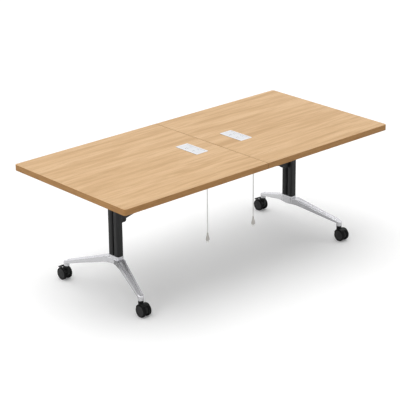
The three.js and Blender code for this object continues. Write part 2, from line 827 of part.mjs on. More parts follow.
// Pedal: a wedge that lies over the treads with the brake on, with cheeks and a pin through the lug
function brakePedal() {
  const cheekInner = casterWeb / 2 + turnGap;
  const cheekOuter = cheekInner + pedalCheek;
  const front = -(pedalLugRadius + 2 * turnGap);
  const back = front - pedalLength;
  const axleDrop = pedalZ - wheelRadius;
  const wrapRadius = treadRadius + pedalClear;
  const tipTop = pedalLugRadius - pedalLength * Math.tan(pedalSlope);
  const side = outline([[front, pedalLugRadius], [back, tipTop], [back, tipTop - pedalTip]]);
  side.absarc(0, -axleDrop, wrapRadius, Math.PI / 2 + pedalWrap, Math.acos(front / wrapRadius), true);
  const plan = outline([
    [-pedalWidth / 2, front], [-pedalTipWidth / 2, back], [pedalTipWidth / 2, back], [pedalWidth / 2, front],
  ]);
  const wedge = runAlongX(side, -pedalWidth / 2, pedalWidth / 2);
  const cheek = new THREE.Shape().absarc(0, 0, pedalLugRadius, -Math.PI / 2, Math.PI / 2);
  cheek.lineTo(front - pedalCheek, 0);
  return join(
    shared(wedge, raised(plan, -axleDrop, axleDrop)),
    runAlongX(cheek, cheekInner, cheekOuter, hoodSegments),
    runAlongX(cheek, -cheekOuter, -cheekInner, hoodSegments),
    rodAlongX(pedalPinRadius, -cheekInner - 1, cheekInner + 1),
  );
}

for (const [name, x, y, turn] of [
  ['left_front', -casterX, -armReach, 0],
  ['left_rear', -casterX, armReach, Math.PI],
  ['right_front', casterX, -armReach, 0],
  ['right_rear', casterX, armReach, Math.PI],
]) {
  const caster = station(x, legY + y, turn);
  const braked = turn !== 0;
  put(caster, `${name}_caster_stem`, casterStem(), finish.steel);
  put(caster, `${name}_caster_web`, casterWebBody(braked), finish.blackPlastic);
  put(caster, `${name}_caster_axle`, casterAxle(), finish.steel)
    .position.set(0, -casterTrail, wheelRadius);
  for (const [label, turnOver] of [['outer', x < 0 === braked], ['inner', x < 0 !== braked]]) {
    const spin = station(0, -casterTrail, turnOver ? 0 : Math.PI, caster);
    spin.position.z = wheelRadius;
    put(spin, `${name}_${label}_wheel`, wheel(), finish.tyre).position.x = casterWeb / 2 + sideGap;
  }
  if (braked) {
    put(caster, `${name}_brake_pedal`, brakePedal(), finish.blackPlastic).position.set(0, pedalY, pedalZ);
  }
}

export default table;
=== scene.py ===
# Flip top training table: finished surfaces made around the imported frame. Metres, +Z up, +X along the table.
import json
import math

import bmesh
import bpy
from mathutils import Matrix, Vector

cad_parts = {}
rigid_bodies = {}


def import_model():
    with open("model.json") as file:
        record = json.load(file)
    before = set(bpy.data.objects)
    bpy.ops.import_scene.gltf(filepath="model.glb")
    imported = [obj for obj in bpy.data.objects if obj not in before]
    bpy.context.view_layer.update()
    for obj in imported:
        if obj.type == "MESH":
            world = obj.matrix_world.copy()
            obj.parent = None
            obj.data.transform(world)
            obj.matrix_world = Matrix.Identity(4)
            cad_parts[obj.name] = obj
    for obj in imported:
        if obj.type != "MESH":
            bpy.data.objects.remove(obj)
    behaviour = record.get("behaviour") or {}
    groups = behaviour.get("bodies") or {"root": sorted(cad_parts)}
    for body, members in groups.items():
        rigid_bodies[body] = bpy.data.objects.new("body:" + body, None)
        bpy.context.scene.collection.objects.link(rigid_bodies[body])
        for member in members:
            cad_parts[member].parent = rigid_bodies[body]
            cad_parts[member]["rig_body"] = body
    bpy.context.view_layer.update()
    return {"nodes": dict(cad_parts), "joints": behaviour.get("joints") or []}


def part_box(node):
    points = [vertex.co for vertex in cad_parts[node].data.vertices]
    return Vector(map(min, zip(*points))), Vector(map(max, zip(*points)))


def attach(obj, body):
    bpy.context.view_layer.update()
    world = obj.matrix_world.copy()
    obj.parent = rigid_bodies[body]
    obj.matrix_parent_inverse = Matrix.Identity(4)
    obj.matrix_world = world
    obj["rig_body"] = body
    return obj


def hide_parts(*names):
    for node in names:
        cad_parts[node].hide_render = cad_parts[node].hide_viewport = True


for leftover in list(bpy.data.objects):
    bpy.data.objects.remove(leftover)
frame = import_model()
nodes = frame["nodes"]
joints = {joint["name"]: joint for joint in frame["joints"]}
scene = bpy.context.scene
sides = {"left": -1, "right": 1}
corners = ["left_front", "left_rear", "right_front", "right_rear"]
tiny = 1e-5
weldGap = 1e-6
print("frame loaded with", len(nodes), "nodes")


# Camera, at the photograph's place and angle
camera = {
    "place": (-5.9673, -6.5747, 3.8189),
    "azimuth": 41.945,
    "elevation": 21.122,
    "roll": -0.598,
    "focalPixels": 1569.1,
    "framePixels": 400,
    "sensor": 36.0,
    "clipEnd": 120.0,
}


def makeCamera():
    turn, tilt, roll = (math.radians(camera[angle]) for angle in ("azimuth", "elevation", "roll"))
    ahead = Vector((math.sin(turn) * math.cos(tilt), math.cos(turn) * math.cos(tilt), -math.sin(tilt)))
    level = ahead.cross(Vector((0, 0, 1))).normalized()
    upright = level.cross(ahead)
    right = level * math.cos(roll) + upright * math.sin(roll)
    up = upright * math.cos(roll) - level * math.sin(roll)
    lens = bpy.data.cameras.new("photoCamera")
    lens.sensor_width = camera["sensor"]
    lens.lens = camera["focalPixels"] * camera["sensor"] / camera["framePixels"]
    lens.clip_end = camera["clipEnd"]
    eye = bpy.data.objects.new("photoCamera", lens)
    turned = Matrix((right, up, -ahead)).transposed().to_4x4()
    eye.matrix_world = Matrix.Translation(camera["place"]) @ turned
    scene.collection.objects.link(eye)
    scene.camera = eye


makeCamera()
print("camera placed")


# Material helpers
def addNode(tree, kind, inputs=None, **settings):
    node = tree.nodes.new(kind)
    for name, value in settings.items():
        setattr(node, name, value)
    for name, value in (inputs or {}).items():
        if isinstance(value, bpy.types.NodeSocket):
            tree.links.new(value, node.inputs[name])
        else:
            node.inputs[name].default_value = value
    return node


def startMaterial(name, **sockets):
    material = bpy.data.materials.new(name)
    material.use_nodes = True
    tree = material.node_tree
    shader = tree.nodes["Principled BSDF"]
    for socket, value in sockets.items():
        shader.inputs[socket.replace("_", " ")].default_value = value
    return material, tree, shader


def stretched(tree, scale=(1, 1, 1), shift=(0, 0, 0)):
    place = addNode(tree, "ShaderNodeTexCoord")
    return addNode(
        tree, "ShaderNodeMapping", {"Vector": place.outputs["Object"], "Scale": scale, "Location": shift}
    ).outputs["Vector"]


def noise(tree, vector, scale=1.0, detail=3.0, roughness=0.5, distortion=0.0):
    inputs = {
        "Vector": vector,
        "Scale": scale,
        "Detail": detail,
        "Roughness": roughness,
        "Distortion": distortion,
    }
    return addNode(tree, "ShaderNodeTexNoise", inputs).outputs["Fac"]


def ramp(tree, factor, stops):
    node = addNode(tree, "ShaderNodeValToRGB", {"Fac": factor})
    band = node.color_ramp
    while len(band.elements) < len(stops):
        band.elements.new(0.5)
    for element, (position, colour) in zip(band.elements, stops):
        element.position = position
        element.color = (*colour, 1.0)
    return node.outputs["Color"]


def level(tree, factor, low, high, fromLow=0.3, fromHigh=0.7):
    inputs = {"Value": factor, "From Min": fromLow, "From Max": fromHigh, "To Min": low, "To Max": high}
    return addNode(tree, "ShaderNodeMapRange", inputs).outputs["Result"]


def blendColours(tree, factor, first, second):
    inputs = {0: factor, 6: first, 7: (*second, 1.0)}
    return addNode(tree, "ShaderNodeMix", inputs, data_type="RGBA").outputs[2]


def addBump(tree, shader, height, strength, distance):
    node = addNode(tree, "ShaderNodeBump", {"Height": height, "Strength": strength, "Distance": distance})
    tree.links.new(node.outputs["Normal"], shader.inputs["Normal"])


# Oak laminate, with its grain along the table, over a pale balancing sheet on the underside
oak = {
    "light": (0.725, 0.476, 0.252),
    "middle": (0.652, 0.410, 0.198),
    "dark": (0.520, 0.300, 0.122),
    "streak": (0.42, 0.235, 0.09),
    "underside": (0.80, 0.80, 0.79),
    "undersideTop": 0.7145,
    "bands": {"scale": (1.7, 21.0, 1.0), "noise": (4.0, 0.55, 0.6), "stops": (0.32, 0.47, 0.62)},
    "fibres": {"scale": (4.6, 84.0, 1.0), "noise": (5.0, 0.6, 0.3), "levels": (0.0, 0.85, 0.48, 0.70)},
    "hairs": {"scale": (9.0, 620.0, 1.0), "noise": (2.0, 0.5), "levels": (0.0, 0.34)},
    "pores": {"scale": (38.0, 1500.0, 1.0), "noise": (1.0, 0.5), "levels": (0.0, 0.5, 0.62, 0.74)},
    "roughness": (0.42, 0.54),
    "bump": (0.05, 0.0004),
    "refraction": 1.45,
    "leftShift": (0.37, 0.0, 0.0),
    "rightShift": (4.1, 2.63, 0.0),
}


def grainLayer(tree, layer, shift=(0, 0, 0)):
    return noise(tree, stretched(tree, layer["scale"], shift), 1.0, *layer["noise"])


def heightTest(tree, operation, height):
    z = addNode(tree, "ShaderNodeSeparateXYZ", {0: stretched(tree)}).outputs["Z"]
    return addNode(tree, "ShaderNodeMath", {0: z, 1: height}, operation=operation).outputs[0]


def oakLaminate(side):
    material, tree, shader = startMaterial(f"{side}Oak", IOR=oak["refraction"])
    shift = oak[f"{side}Shift"]
    bands = grainLayer(tree, oak["bands"], shift)
    fibres = grainLayer(tree, oak["fibres"], shift)
    hairs = grainLayer(tree, oak["hairs"], shift)
    pores = grainLayer(tree, oak["pores"], shift)
    tones = (oak["dark"], oak["middle"], oak["light"])
    colour = ramp(tree, bands, list(zip(oak["bands"]["stops"], tones)))
    colour = blendColours(tree, level(tree, fibres, *oak["fibres"]["levels"]), colour, oak["dark"])
    colour = blendColours(tree, level(tree, hairs, *oak["hairs"]["levels"]), colour, oak["light"])
    colour = blendColours(tree, level(tree, pores, *oak["pores"]["levels"]), colour, oak["streak"])
    below = heightTest(tree, "LESS_THAN", oak["undersideTop"])
    colour = blendColours(tree, below, colour, oak["underside"])
    tree.links.new(colour, shader.inputs["Base Color"])
    tree.links.new(level(tree, hairs, *oak["roughness"]), shader.inputs["Roughness"])
    addBump(tree, shader, pores, *oak["bump"])
    return material


# Edge band, darker and redder below its cap, with its streaks running round the edge
edgeBand = {
    "light": (0.445, 0.238, 0.088),
    "dark": (0.350, 0.178, 0.058),
    "patch": (0.285, 0.140, 0.046),
    "streaks": {"scale": (5.0, 5.0, 420.0), "noise": (4.0, 0.6), "stops": (0.35, 0.65)},
    "patches": {"scale": (15.0, 15.0, 110.0), "noise": (3.0, 0.6), "levels": (0.0, 0.6, 0.48, 0.70)},
    "capHeight": 0.7496,
    "roughness": (0.45, 0.58),
    "bump": (0.05, 0.0003),
    "specular": 0.25,
}


def oakEdge():
    material, tree, shader = startMaterial(
        "oakEdge", IOR=oak["refraction"], Specular_IOR_Level=edgeBand["specular"]
    )
    streaks = grainLayer(tree, edgeBand["streaks"])
    patches = grainLayer(tree, edgeBand["patches"])
    tones = (edgeBand["dark"], edgeBand["light"])
    colour = ramp(tree, streaks, list(zip(edgeBand["streaks"]["stops"], tones)))
    patched = level(tree, patches, *edgeBand["patches"]["levels"])
    colour = blendColours(tree, patched, colour, edgeBand["patch"])
    above = heightTest(tree, "GREATER_THAN", edgeBand["capHeight"])
    colour = blendColours(tree, above, colour, oak["middle"])
    tree.links.new(colour, shader.inputs["Base Color"])
    tree.links.new(level(tree, streaks, *edgeBand["roughness"]), shader.inputs["Roughness"])
    addBump(tree, shader, streaks, *edgeBand["bump"])
    return material


# Plain finishes: two close colours mottled together, a roughness range and a fine bump
mottle = {"grainNoise": (3.0, 0.6), "cloudNoise": (3.0, 0.5), "cloudSize": 40, "stops": (0.3, 0.7)}
plainDefaults = {"metallic": 0.0, "specular": 0.5}
plainFinishes = {
    "blackCoat": {
        "colours": ((0.010, 0.010, 0.0105), (0.014, 0.014, 0.0145)),
        "roughness": (0.40, 0.52),
        "specular": 0.25,
        "grain": 900.0,
        "bump": (0.10, 0.0002),
    },
    "polishedCasting": {
        "colours": ((0.555, 0.555, 0.57), (0.595, 0.595, 0.61)),
        "roughness": (0.15, 0.21),
        "metallic": 0.7,
        "grain": 26.0,
        "bump": (0.03, 0.0004),
    },
    # A lighter copy of the casting finish for faces turned upward: painted sheen
    "castingTopSheen": {
        "colours": ((0.745, 0.745, 0.78), (0.775, 0.775, 0.81)),
        "roughness": (0.24, 0.28),
        "metallic": 0.75,
        "grain": 26.0,
        "bump": (0.02, 0.0004),
    },
    "turnedSteel": {
        "colours": ((0.52, 0.53, 0.54), (0.60, 0.61, 0.62)),
        "roughness": (0.26, 0.38),
        "metallic": 1.0,
        "grain": 500.0,
        "bump": (0.06, 0.0001),
    },
    "mouldedNylon": {
        "colours": ((0.006, 0.006, 0.006), (0.010, 0.010, 0.010)),
        "roughness": (0.42, 0.56),
        "specular": 0.2,
        "grain": 1400.0,
        "bump": (0.12, 0.0001),
    },
    "wheelTread": {
        "colours": ((0.003, 0.003, 0.003), (0.005, 0.005, 0.005)),
        "roughness": (0.62, 0.78),
        "specular": 0.12,
        "grain": 700.0,
        "bump": (0.15, 0.0002),
    },
    "wheelFace": {
        "colours": ((0.014, 0.014, 0.0145), (0.022, 0.022, 0.0225)),
        "roughness": (0.50, 0.62),
        "specular": 0.25,
        "grain": 1100.0,
        "bump": (0.12, 0.0002),
    },
    "whiteMoulding": {
        "colours": ((0.86, 0.86, 0.90), (0.89, 0.89, 0.92)),
        "roughness": (0.30, 0.40),
        "grain": 800.0,
        "bump": (0.04, 0.0001),
    },
    "socketFace": {
        "colours": ((0.74, 0.75, 0.78), (0.78, 0.79, 0.81)),
        "roughness": (0.34, 0.46),
        "grain": 800.0,
        "bump": (0.04, 0.0001),
    },
    "seamShade": {
        "colours": ((0.21, 0.12, 0.055), (0.25, 0.145, 0.068)),
        "roughness": (0.70, 0.85),
        "specular": 0.2,
        "grain": 800.0,
        "bump": (0.04, 0.0001),
    },
    "slotShade": {
        "colours": ((0.03, 0.03, 0.034), (0.05, 0.05, 0.054)),
        "roughness": (0.70, 0.85),
        "grain": 800.0,
        "bump": (0.04, 0.0001),
    },
    # Grey for the bezel's end faces: painted shade, as if they stood in shadow
    "bezelEndShade": {
        "colours": ((0.16, 0.15, 0.14), (0.22, 0.21, 0.20)),
        "roughness": (0.70, 0.85),
        "grain": 800.0,
        "bump": (0.06, 0.0001),
    },
    "plugMoulding": {
        "colours": ((0.60, 0.575, 0.54), (0.66, 0.635, 0.60)),
        "roughness": (0.45, 0.58),
        "grain": 1200.0,
        "bump": (0.06, 0.0001),
    },
    "plugBlade": {
        "colours": ((0.76, 0.75, 0.72), (0.82, 0.81, 0.78)),
        "roughness": (0.24, 0.34),
        "metallic": 1.0,
        "grain": 600.0,
        "bump": (0.04, 0.0001),
    },
    "cordJacket": {
        "colours": ((0.80, 0.80, 0.78), (0.86, 0.86, 0.84)),
        "roughness": (0.45, 0.58),
        "grain": 1200.0,
        "bump": (0.06, 0.0001),
    },
    "padRubber": {
        "colours": ((0.016, 0.016, 0.016), (0.024, 0.024, 0.024)),
        "roughness": (0.78, 0.92),
        "specular": 0.2,
        "grain": 1000.0,
        "bump": (0.15, 0.0002),
    },
}


def plainFinish(name):
    facts = {**plainDefaults, **plainFinishes[name]}
    material, tree, shader = startMaterial(
        name, Metallic=facts["metallic"], Specular_IOR_Level=facts["specular"]
    )
    cloudScale = facts["grain"] / mottle["cloudSize"]
    grain = noise(tree, stretched(tree), facts["grain"], *mottle["grainNoise"])
    clouds = noise(tree, stretched(tree), cloudScale, *mottle["cloudNoise"])
    colour = ramp(tree, clouds, list(zip(mottle["stops"], facts["colours"])))
    tree.links.new(colour, shader.inputs["Base Color"])
    tree.links.new(level(tree, clouds, *facts["roughness"]), shader.inputs["Roughness"])
    addBump(tree, shader, grain, *facts["bump"])
    return material


finishes = {name: plainFinish(name) for name in plainFinishes}
for side in sides:
    finishes[f"{side}Oak"] = oakLaminate(side)
finishes["oakEdge"] = oakEdge()
print("materials made:", len(finishes))


# Mesh helpers
squareAngle = 60.0
parallel = 0.99


def boxed(low, high):
    low, high = Vector(low), Vector(high)
    place = Matrix.Translation((low + high) / 2) @ Matrix.Diagonal((*(high - low), 1.0))
    bm = bmesh.new()
    bmesh.ops.create_cube(bm, size=1.0, matrix=place)
    return bm


def cylinder(radius, depth, place, segments):
    bm = bmesh.new()
    bmesh.ops.create_cone(
        bm,
        cap_ends=True,
        segments=segments,
        radius1=radius,
        radius2=radius,
        depth=depth,
        matrix=place,
    )
    return bm


def roundEdges(bm, edges, radius, segments=3):
    bmesh.ops.bevel(
        bm,
        geom=edges,
        offset=radius,
        offset_type="OFFSET",
        segments=segments,
        profile=0.5,
        affect="EDGES",
        clamp_overlap=True,
        material=-1,
    )


def runsAlong(edge, axis):
    return abs((edge.verts[0].co - edge.verts[1].co).normalized()[axis]) > parallel


def sharpEdges(bm, angle=30.0):
    limit = math.radians(angle)
    return [edge for edge in bm.edges if edge.is_manifold and edge.calc_face_angle() > limit]


def roundCap(bm, choose, radius, segments=3):
    cap = choose(bm.faces, key=lambda face: face.calc_center_median().z)
    roundEdges(bm, list(cap.edges), radius, segments)


def facingOut(bm):
    bmesh.ops.remove_doubles(bm, verts=bm.verts, dist=weldGap)
    bmesh.ops.recalc_face_normals(bm, faces=bm.faces)
    return bm


def roundedBar(low, high, axis, radius, segments=8, rim=0.0, chosen=None):
    bm = boxed(low, high)
    edges = [edge for edge in bm.edges if runsAlong(edge, axis)]
    roundEdges(bm, [edge for edge in edges if chosen is None or chosen(edge)], radius, segments)
    if rim:
        rims = [edge for edge in sharpEdges(bm, squareAngle) if not runsAlong(edge, axis)]
        roundEdges(bm, rims, rim)
    return bm


def boreThrough(bm, axis, wall):
    caps = [face for face in bm.faces if abs(face.normal[axis]) > parallel]
    bmesh.ops.inset_region(bm, faces=caps, thickness=wall, use_even_offset=True)
    bmesh.ops.delete(bm, geom=caps, context="FACES")
    bmesh.ops.bridge_loops(bm, edges=[edge for edge in bm.edges if edge.is_boundary])
    return facingOut(bm)


def turnedBody(profile, steps):
    bm = bmesh.new()
    verts = [bm.verts.new((radius, 0, height)) for radius, height in profile]
    edges = [bm.edges.new(pair) for pair in zip(verts, verts[1:])]
    bmesh.ops.spin(
        bm,
        geom=verts + edges,
        cent=(0, 0, 0),
        axis=(0, 0, 1),
        angle=2 * math.pi,
        steps=steps,
        use_merge=True,
    )
    return facingOut(bm)


def turnedDisc(radius, low, high, steps):
    return turnedBody([(0, low), (radius, low), (radius, high), (0, high)], steps)


def addRing(bm, radius, place, segments):
    made = bmesh.ops.create_circle(bm, segments=segments, radius=radius, matrix=place)["verts"]
    return list(dict.fromkeys(edge for vert in made for edge in vert.link_edges))


def skinned(bm, rings):
    for near, far in zip(rings, rings[1:]):
        bmesh.ops.bridge_loops(bm, edges=near + far)
    for end in (rings[0], rings[-1]):
        bmesh.ops.contextual_create(bm, geom=end)
    bmesh.ops.recalc_face_normals(bm, faces=bm.faces)
    return bm


def lofted(sections):
    bm = bmesh.new()
    rings = []
    for points in sections:
        verts = [bm.verts.new(point) for point in points]
        rings.append([bm.edges.new(pair) for pair in zip(verts, verts[1:] + verts[:1])])
    return skinned(bm, rings)


# Bevels number their faces in another order on each run, so each mesh is put in the order of its places
def settleOrder(bm):
    def ranks(element):
        return sorted(vert.index for vert in element.verts)

    orders = ((bm.verts, lambda vert: vert.co.to_tuple(7)), (bm.edges, ranks), (bm.faces, ranks))
    for elements, order in orders:
        for rank, element in enumerate(sorted(elements, key=order)):
            element.index = rank
        elements.sort()


def asObject(bm, name):
    settleOrder(bm)
    mesh = bpy.data.meshes.new(name)
    bm.to_mesh(mesh)
    bm.free()
    holder = bpy.data.objects.new(name, mesh)
    scene.collection.objects.link(holder)
    return holder


def combined(operation, first, *others):
    holders = [asObject(bm, "shaping") for bm in (first, *others)]
    for tool in holders[1:]:
        step = holders[0].modifiers.new("shaping", "BOOLEAN")
        step.operation = operation
        step.solver = "EXACT"
        step.object = tool
    bpy.context.view_layer.update()
    shaped = holders[0].evaluated_get(bpy.context.evaluated_depsgraph_get())
    bm = bmesh.new()
    bm.from_mesh(shaped.to_mesh())
    shaped.to_mesh_clear()
    for holder in holders:
        mesh = holder.data
        bpy.data.objects.remove(holder)
        bpy.data.meshes.remove(mesh)
    bmesh.ops.remove_doubles(bm, verts=bm.verts, dist=tiny)
    return bm


def bodyOf(node):
    return nodes[node]["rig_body"]


def finishPiece(name, bm, looks, body, slot, *replaced, sharp=35.0):
    piece = asObject(bm, name)
    for look in looks:
        piece.data.materials.append(finishes[look])
    piece.data.shade_smooth()
    piece.data.set_sharp_from_angle(angle=math.radians(sharp))
    weighted = piece.modifiers.new("evenShading", "WEIGHTED_NORMAL")
    weighted.keep_sharp = True
    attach(piece, body)
    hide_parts(*replaced)
    return piece


def dress(node, looks):
    part = nodes[node]
    part.data.materials.clear()
    for look in looks:
        part.data.materials.append(finishes[look])
    return part


# Mains leads: a cord that hangs straight from each strain relief and ends in a two-blade plug
lead = {
    "diameter": 0.007,
    "roundness": 5,
    "drops": [
        0.0053, 0.015, 0.030, 0.055, 0.085, 0.115, 0.145, 0.175,
        0.205, 0.235, 0.265, 0.295, 0.325, 0.350, 0.375, 0.395,
    ],
    "plugLength": 0.050,
    "plugSections": [
        (0.0, 0.0100, 0.0100), (0.06, 0.0104, 0.0104), (0.30, 0.0115, 0.0110), (0.42, 0.0150, 0.0132),
        (0.55, 0.0202, 0.0160), (0.68, 0.0246, 0.0186), (0.78, 0.0268, 0.0199), (0.86, 0.0270, 0.0200),
        (0.94, 0.0266, 0.0197), (0.98, 0.0254, 0.0187), (1.0, 0.0234, 0.0168),
    ],
    "plugSegments": 32,
    "bladeLength": 0.016,
    "bladeWidth": 0.006,
    "bladeThickness": 0.002,
    "bladePitch": 0.013,
    "bladeSink": 0.001,
    "bladeEase": 0.0005,
}


def makeBlade(x, y, low):
    half = Vector((lead["bladeThickness"], lead["bladeWidth"], lead["bladeLength"])) / 2
    middle = Vector((x, y, low + half.z))
    blade = boxed(middle - half, middle + half + Vector((0, 0, lead["bladeSink"])))
    roundEdges(blade, sharpEdges(blade), lead["bladeEase"], segments=2)
    return blade


def makePlug(side):
    node = f"{side}_lead_plug"
    low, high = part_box(node)
    x, y = (low.x + high.x) / 2, (low.y + high.y) / 2
    moulding = bmesh.new()
    rings = []
    for share, width, depth in lead["plugSections"]:
        place = Matrix.Translation((x, y, high.z - share * lead["plugLength"]))
        oval = Matrix.Diagonal((width / 2, depth / 2, 1.0, 1.0))
        rings.append(addRing(moulding, 1.0, place @ oval, lead["plugSegments"]))
    blades = [makeBlade(x + end * lead["bladePitch"] / 2, y, low.z) for end in (-1, 1)]
    plug = combined("UNION", skinned(moulding, rings), *blades)
    for face in plug.faces:
        face.material_index = int(face.calc_center_median().z < low.z + lead["bladeLength"] - tiny)
    looks = ["plugMoulding", "plugBlade"]
    return finishPiece(f"{side}_mains_plug", plug, looks, f"{side}_lead", "grey_cord", node)


def makeCord(side):
    swing = Vector(joints[f"{side}_lead_swing"]["pos_m"])
    path = [swing - Vector((0, 0, drop)) for drop in lead["drops"]]
    curve = bpy.data.curves.new(f"{side}_mains_cord", "CURVE")
    curve.dimensions = "3D"
    curve.bevel_depth = lead["diameter"] / 2
    curve.bevel_resolution = lead["roundness"]
    curve.use_fill_caps = True
    spline = curve.splines.new("POLY")
    spline.points.add(len(path) - 1)
    for point, place in zip(spline.points, path):
        point.co = (*place, 1.0)
    curve.materials.append(finishes["cordJacket"])
    cord = bpy.data.objects.new(f"{side}_mains_cord", curve)
    scene.collection.objects.link(cord)
    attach(cord, f"{side}_lead")
    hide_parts(f"{side}_lead_cord")
    makePlug(side)


for side in sides:
    makeCord(side)
print("leads hung")


# Strain reliefs: flange and hexagon nut on the housing, then a ribbed boot that bends down to a ball
gland = {
    "flangeRadius": 0.012,
    "flange": 0.003,
    "flangeSteps": 48,
    "nutRadius": 0.009,
    "nut": 0.012,
    "ease": 0.0008,
    "bootRadius": 0.0075,
    "bootSegments": 24,
    "straight": 0.007,
    "lap": 0.001,
    "bend": 0.034,
    "ribs": 7,
    "ribDepth": 0.0009,
    "stepsPerRib": 4,
    "ball": 0.005,
    "ballSteps": 4,
    "ballTurn": 0.42 * math.pi,
}


def makeBoot(swing):
    boot = bmesh.new()
    pivot = swing + Vector((0, gland["bend"], 0))
    across = Vector((1, 0, 0))
    steps = gland["ribs"] * gland["stepsPerRib"]

    def ring(angle, past, radius):
        along = Vector((0, -math.cos(angle), -math.sin(angle)))
        outward = Vector((0, -math.sin(angle), math.cos(angle)))
        centre = pivot + outward * gland["bend"] + along * past
        turn = Matrix((across, outward, across.cross(outward))).transposed().to_4x4()
        return addRing(boot, radius, Matrix.Translation(centre) @ turn, gland["bootSegments"])

    rings = [ring(0, -gland["straight"] - gland["lap"], gland["bootRadius"])]
    for step in range(steps + 1):
        share = step / steps
        groove = gland["ribDepth"] if step % gland["stepsPerRib"] in (1, 2) else 0
        radius = gland["bootRadius"] + (gland["ball"] - gland["bootRadius"]) * share - groove
        rings.append(ring(share * math.pi / 2, 0, radius))
    for step in range(1, gland["ballSteps"] + 1):
        turn = gland["ballTurn"] * step / gland["ballSteps"]
        rings.append(ring(math.pi / 2, gland["ball"] * math.sin(turn), gland["ball"] * math.cos(turn)))
    return skinned(boot, rings)


def makeGland(side):
    node = f"{side}_lead_gland"
    swing = Vector(joints[f"{side}_lead_swing"]["pos_m"])
    mouth = Vector((swing.x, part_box(node)[1].y, swing.z + gland["bend"]))
    lay = Matrix.Translation(mouth) @ Matrix.Rotation(math.pi / 2, 4, "X")
    nutEnd = gland["flange"] + gland["nut"]
    flange = turnedDisc(gland["flangeRadius"], 0, gland["flange"], gland["flangeSteps"])
    nut = cylinder(gland["nutRadius"], nutEnd, Matrix.Translation((0, 0, nutEnd / 2)), 6)
    for form in (flange, nut):
        roundEdges(form, sharpEdges(form), gland["ease"], segments=2)
        form.transform(lay)
    relief = combined("UNION", flange, nut, makeBoot(swing))
    finishPiece(f"{side}_strain_relief", relief, ["cordJacket"], "top", "grey_cord", node)


for side in sides:
    makeGland(side)
print("strain reliefs made")


# Top: the panels keep their cut shape, and each edge band gets round corners, eased edges and a dark seam
band = {"thickness": 0.002, "corner": 0.014, "cornerSteps": 10, "ease": 0.0009, "seamFacing": 0.35}


def makeBand(side):
    node = f"{side}_edge_band"
    low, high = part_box(node)
    outer, inner = (low.x, high.x) if side == "left" else (high.x, low.x)
    bm = roundedBar(
        low,
        high,
        2,
        band["corner"],
        band["cornerSteps"],
        rim=band["ease"],
        chosen=lambda edge: abs(edge.verts[0].co.x - outer) < tiny,
    )
    seam = [edge for edge in sharpEdges(bm, squareAngle) if runsAlong(edge, 2)]
    roundEdges(bm, seam, band["ease"])
    boreThrough(bm, 2, band["thickness"] - band["ease"])
    for face in bm.faces:
        nearSeam = abs(face.calc_center_median().x - inner) < band["ease"] + tiny
        face.material_index = int(nearSeam and abs(face.normal.x) > band["seamFacing"])
    finishPiece(f"{side}_edging", bm, ["oakEdge", "seamShade"], "top", "oak_edge", node)


for side in sides:
    makeBand(side)
    dress(f"{side}_top_panel", [f"{side}Oak"])
print("top finished")


# Power modules: an eased bezel with painted shade on its end faces, round the socket insert and its shaded
# slots
bezel = {
    "corner": 0.006,
    "cornerSteps": 8,
    "ease": 0.0012,
    "windowCorner": 0.0033,
    "windowSteps": 6,
    "windowEase": 0.0005,
    "windowCut": 0.02,
    "gap": 0.0003,
    "endShadeFacing": 0.9,
}


def makeBezel(side, insertLow, insertHigh):
    node = f"{side}_module_bezel"
    low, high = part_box(node)
    reach = Vector((bezel["gap"], bezel["gap"], bezel["windowCut"]))
    window = roundedBar(insertLow - reach, insertHigh + reach, 2, bezel["windowCorner"], bezel["windowSteps"])
    blank = roundedBar(low, high, 2, bezel["corner"], bezel["cornerSteps"], rim=bezel["ease"])
    plate = combined("DIFFERENCE", blank, window)
    inner = [edge for edge in sharpEdges(plate, squareAngle) if edge.verts[0].co.z > high.z - tiny]
    roundEdges(plate, inner, bezel["windowEase"], segments=2)
    # The bezel's end faces take a grey finish: painted shade, as if they stood in shadow
    for face in plate.faces:
        face.material_index = int(abs(face.normal.x) > bezel["endShadeFacing"])
    looks = ["whiteMoulding", "bezelEndShade"]
    finishPiece(f"{side}_socket_bezel", plate, looks, "top", "white_plastic", node)


def makeModule(side):
    node = f"{side}_module_insert"
    low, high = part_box(node)
    makeBezel(side, low, high)
    insert = dress(node, ["socketFace", "slotShade"])
    for face in insert.data.polygons:
        within = all(low[axis] + tiny < face.center[axis] < high[axis] - tiny for axis in (0, 1))
        face.material_index = int(within and face.center.z < high.z - tiny)


for side in sides:
    makeModule(side)
print("power modules finished")


# Columns: rounded tubes that stand on the base
column = {"corner": 0.012, "wall": 0.0025, "segments": 10}

for side in sides:
    for place in ("front", "rear"):
        node = f"{side}_{place}_column"
        post = roundedBar(*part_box(node), 2, column["corner"], column["segments"])
        tube = boreThrough(post, 2, column["wall"])
        finishPiece(f"{side}_{place}_upright", tube, ["blackCoat"], "frame", "black_coat", node)
print("columns finished")


# Base: one casting lofted from caster to caster, with dished arms, eased edges, bosses, a hollow below and a
# painted sheen on its upward faces
base = {
    "hubHeight": 0.221,
    "hubDepth": 0.038,
    "hubHalfWidth": 0.025,
    "hubSteps": 16,
    "seatHeight": 0.235,
    "seatHalfDepth": 0.046,
    "seatCorner": 0.014,
    "seatSteps": 10,
    "landing": 0.048,
    "knee": 0.030,
    "kneeSteps": 8,
    "armSteps": 8,
    "splay": 0.106,
    "reach": 0.342,
    "apex": 0.008,
    "tipRadius": 0.018,
    "tipSegments": 56,
    "tipTop": 0.128,
    "tipBottom": 0.092,
    "tipDepth": 0.020,
    "tipLift": 0.00005,
    "slopeRun": 0.01,
    "dish": 0.004,
    "dishSteps": 16,
    "dishRim": 0.0005,
    "wall": 0.005,
    "hollowSteps": 14,
    "hollowDrop": 0.002,
    "edge": 0.007,
    "edgeSteps": 6,
    "lowEdge": 0.002,
    "longStep": 0.004,
    "topBand": 0.001,
    "socket": 0.0055,
    "socketSegments": 32,
    "socketLap": 0.001,
    "stemGrip": 0.0283,
    "topFacing": 0.25,
    "sharp": 32.0,
}


def ramped(run):
    if run <= 0:
        return 0.0
    knee = base["knee"]
    return run * run / (2 * knee) if run < knee else run - knee / 2


